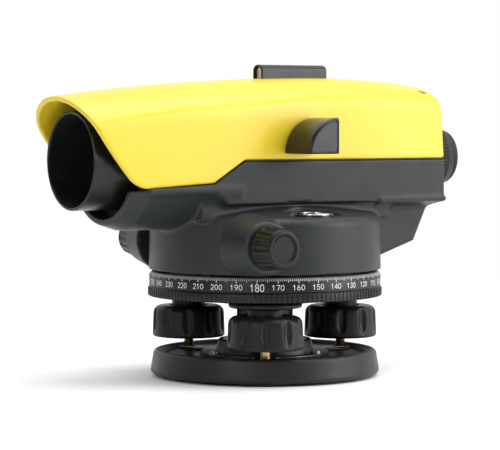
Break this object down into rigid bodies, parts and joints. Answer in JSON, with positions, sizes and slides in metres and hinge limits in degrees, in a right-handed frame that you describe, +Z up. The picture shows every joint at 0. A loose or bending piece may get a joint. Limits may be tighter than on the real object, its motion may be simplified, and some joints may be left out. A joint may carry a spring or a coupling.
{
  "type": "automatic level",
  "caption": "Surveyor's automatic level: self-levelling telescope on a graduated circle, with a tangent drive and foot screws on a tripod base.",
  "frame": {"origin": "centre of the tripod thread in the plane of the base plate's seat", "axes": "+Z up, away from the tripod; the telescope looks along -Y and the observer stands at +Y; +X is the side with the circular level"},
  "size_m": [0.1244, 0.2062, 0.1377],
  "materials": {
    "cover_yellow": "glossy moulded plastic with a faint ripple",
    "housing_grey": "fine wrinkle paint on a die casting",
    "base_grey": "fine wrinkle paint on a die casting",
    "black_anodised": "satin black",
    "black_plastic": "fine moulded grain",
    "grip_rubber": "matt, ribbed",
    "circle_black": "satin black with white figures",
    "spring_steel": "blued spring steel",
    "steel": "turned",
    "chrome": "polished",
    "brass": "turned",
    "aluminium": "turned, satin",
    "gasket": "matt",
    "glass": "coated, polished",
    "vial_green": "polished, tinted spirit",
    "index_white": "white enamel"
  },
  "bodies": {
    "base": {"base_plate": "base_grey", "spring_plate": "spring_steel", "spring_screws": "steel"},
    "ball_pivots": {"foot_balls": "brass"},
    "tribrach": {"tribrach_body": "base_grey", "foot_bushes": "brass", "axis_bushing": "brass", "clutch_washer": "steel"},
    "spindle_a": {"foot_spindle_a": "brass"},
    "spindle_b": {"foot_spindle_b": "brass"},
    "spindle_c": {"foot_spindle_c": "brass"},
    "knob_a": {"foot_knob_a": "black_plastic"},
    "knob_b": {"foot_knob_b": "black_plastic"},
    "knob_c": {"foot_knob_c": "black_plastic"},
    "circle": {"circle_ring": "circle_black", "circle_hub": "aluminium"},
    "wheel": {"drive_wheel": "brass"},
    "instrument": {"lower_housing": "housing_grey", "top_cover": "cover_yellow", "cover_gasket": "gasket", "cover_screws": "chrome", "vertical_axis": "steel", "axis_screws": "steel", "objective_tube": "black_anodised", "objective_lens": "glass", "lens_retainer": "black_anodised", "focus_barrel": "black_anodised", "compensator_frame": "black_anodised", "fixed_prisms": "glass", "damper_magnets": "steel", "eyepiece_tube": "black_anodised", "reticle_cell": "brass", "reticle_glass": "glass", "optical_sight": "black_plastic", "sight_lenses": "glass", "vial_cup": "black_anodised", "vial_bezel": "chrome", "vial_glass": "vial_green", "vial_screws": "chrome", "mirror_hood": "black_plastic", "bubble_prism": "glass", "worm_bushes": "brass", "focus_bush": "brass", "index_mark": "index_white"},
    "worm": {"worm_shaft": "steel", "drive_knob_left": "black_plastic", "drive_knob_right": "black_plastic"},
    "focus_carriage": {"focus_cell": "brass", "focus_lens": "glass"},
    "focus_drive": {"focus_pinion": "steel", "focus_knob": "black_plastic"},
    "eyepiece": {"eyepiece_cell": "black_anodised", "eyepiece_lenses": "glass"},
    "eyepiece_grip": {"eyepiece_ring": "grip_rubber", "eyecup": "grip_rubber"},
    "pendulum": {"pendulum": "brass", "pendulum_prism": "glass", "suspension_tapes": "spring_steel"}
  },
  "joints": [
    {"name": "tilt_on_a_and_b", "type": "hinge", "parent": "base", "child": "ball_pivots", "pos_m": [-0.01661, 0.01087, 0.0068], "axis": [0.5476, 0.8368, 0], "range_deg": [-1.81, 1.81]},
    {"name": "tilt_towards_c", "type": "hinge", "parent": "ball_pivots", "child": "tribrach", "pos_m": [-0.01661, 0.01087, 0.0068], "axis": [0.8368, -0.5476, 0], "range_deg": [-3.13, 3.13]},
    {"name": "screw_a_travel", "type": "slide", "parent": "tribrach", "child": "spindle_a", "axis": [0, 0, 1], "range_m": [-0.00187, 0.00187]},
    {"name": "screw_a_turn", "type": "hinge", "parent": "spindle_a", "child": "knob_a", "pos_m": [0.00222, 0.03964, 0.017], "axis": [0, 0, 1], "range_deg": [-900.3, 900.3]},
    {"name": "screw_b_travel", "type": "slide", "parent": "tribrach", "child": "spindle_b", "axis": [0, 0, 1], "range_m": [-0.00188, 0.00188]},
    {"name": "screw_b_turn", "type": "hinge", "parent": "spindle_b", "child": "knob_b", "pos_m": [-0.03544, -0.0179, 0.017], "axis": [0, 0, 1], "range_deg": [-900.3, 900.3]},
    {"name": "screw_c_travel", "type": "slide", "parent": "tribrach", "child": "spindle_c", "axis": [0, 0, 1], "range_m": [-0.00187, 0.00187]},
    {"name": "screw_c_turn", "type": "hinge", "parent": "spindle_c", "child": "knob_c", "pos_m": [0.03322, -0.02174, 0.017], "axis": [0, 0, 1], "range_deg": [-900.3, 900.3]},
    {"name": "circle_turn", "type": "hinge", "parent": "tribrach", "child": "circle", "pos_m": [0, 0, 0.042], "axis": [0, 0, 1], "continuous": true},
    {"name": "coarse_swing", "type": "hinge", "parent": "tribrach", "child": "wheel", "pos_m": [0, 0, 0.058], "axis": [0, 0, 1], "continuous": true},
    {"name": "fine_swing", "type": "hinge", "parent": "wheel", "child": "instrument", "pos_m": [0, 0, 0.058], "axis": [0, 0, 1], "continuous": true},
    {"name": "drive_screw_turn", "type": "hinge", "parent": "instrument", "child": "worm", "pos_m": [0, -0.0314, 0.0596], "axis": [1, 0, 0], "continuous": true},
    {"name": "focus_slide", "type": "slide", "parent": "instrument", "child": "focus_carriage", "axis": [0, 1, 0], "range_m": [-0.009, 0.009]},
    {"name": "focus_turn", "type": "hinge", "parent": "instrument", "child": "focus_drive", "pos_m": [-0.019, -0.012, 0.0914], "axis": [1, 0, 0], "range_deg": [-144, 144]},
    {"name": "eyepiece_slide", "type": "slide", "parent": "instrument", "child": "eyepiece", "axis": [0, 1, 0], "range_m": [-0.0012, 0.0012]},
    {"name": "eyepiece_turn", "type": "hinge", "parent": "eyepiece", "child": "eyepiece_grip", "pos_m": [0, 0.09, 0.096], "axis": [0, 1, 0], "range_deg": [-180.1, 180.1]},
    {"name": "pendulum_swing", "type": "hinge", "parent": "instrument", "child": "pendulum", "pos_m": [0, 0.028, 0.1138], "axis": [1, 0, 0], "range_deg": [-0.5, 0.5]}
  ],
  "couplings": [
    {"joint": "screw_a_turn", "follows": "screw_a_travel", "rad_per_m": 8377.6},
    {"joint": "screw_b_travel", "follows": "screw_a_travel", "ratio": -1},
    {"joint": "screw_b_turn", "follows": "screw_a_travel", "rad_per_m": -8377.6},
    {"joint": "tilt_towards_c", "follows": "screw_a_travel", "rad_per_m": -29.086},
    {"joint": "screw_c_turn", "follows": "screw_c_travel", "rad_per_m": 8377.6},
    {"joint": "tilt_on_a_and_b", "follows": "screw_c_travel", "rad_per_m": 16.793},
    {"joint": "drive_screw_turn", "follows": "fine_swing", "ratio": 75},
    {"joint": "focus_turn", "follows": "focus_slide", "rad_per_m": -277.78},
    {"joint": "eyepiece_turn", "follows": "eyepiece_slide", "rad_per_m": 2618}
  ]
}
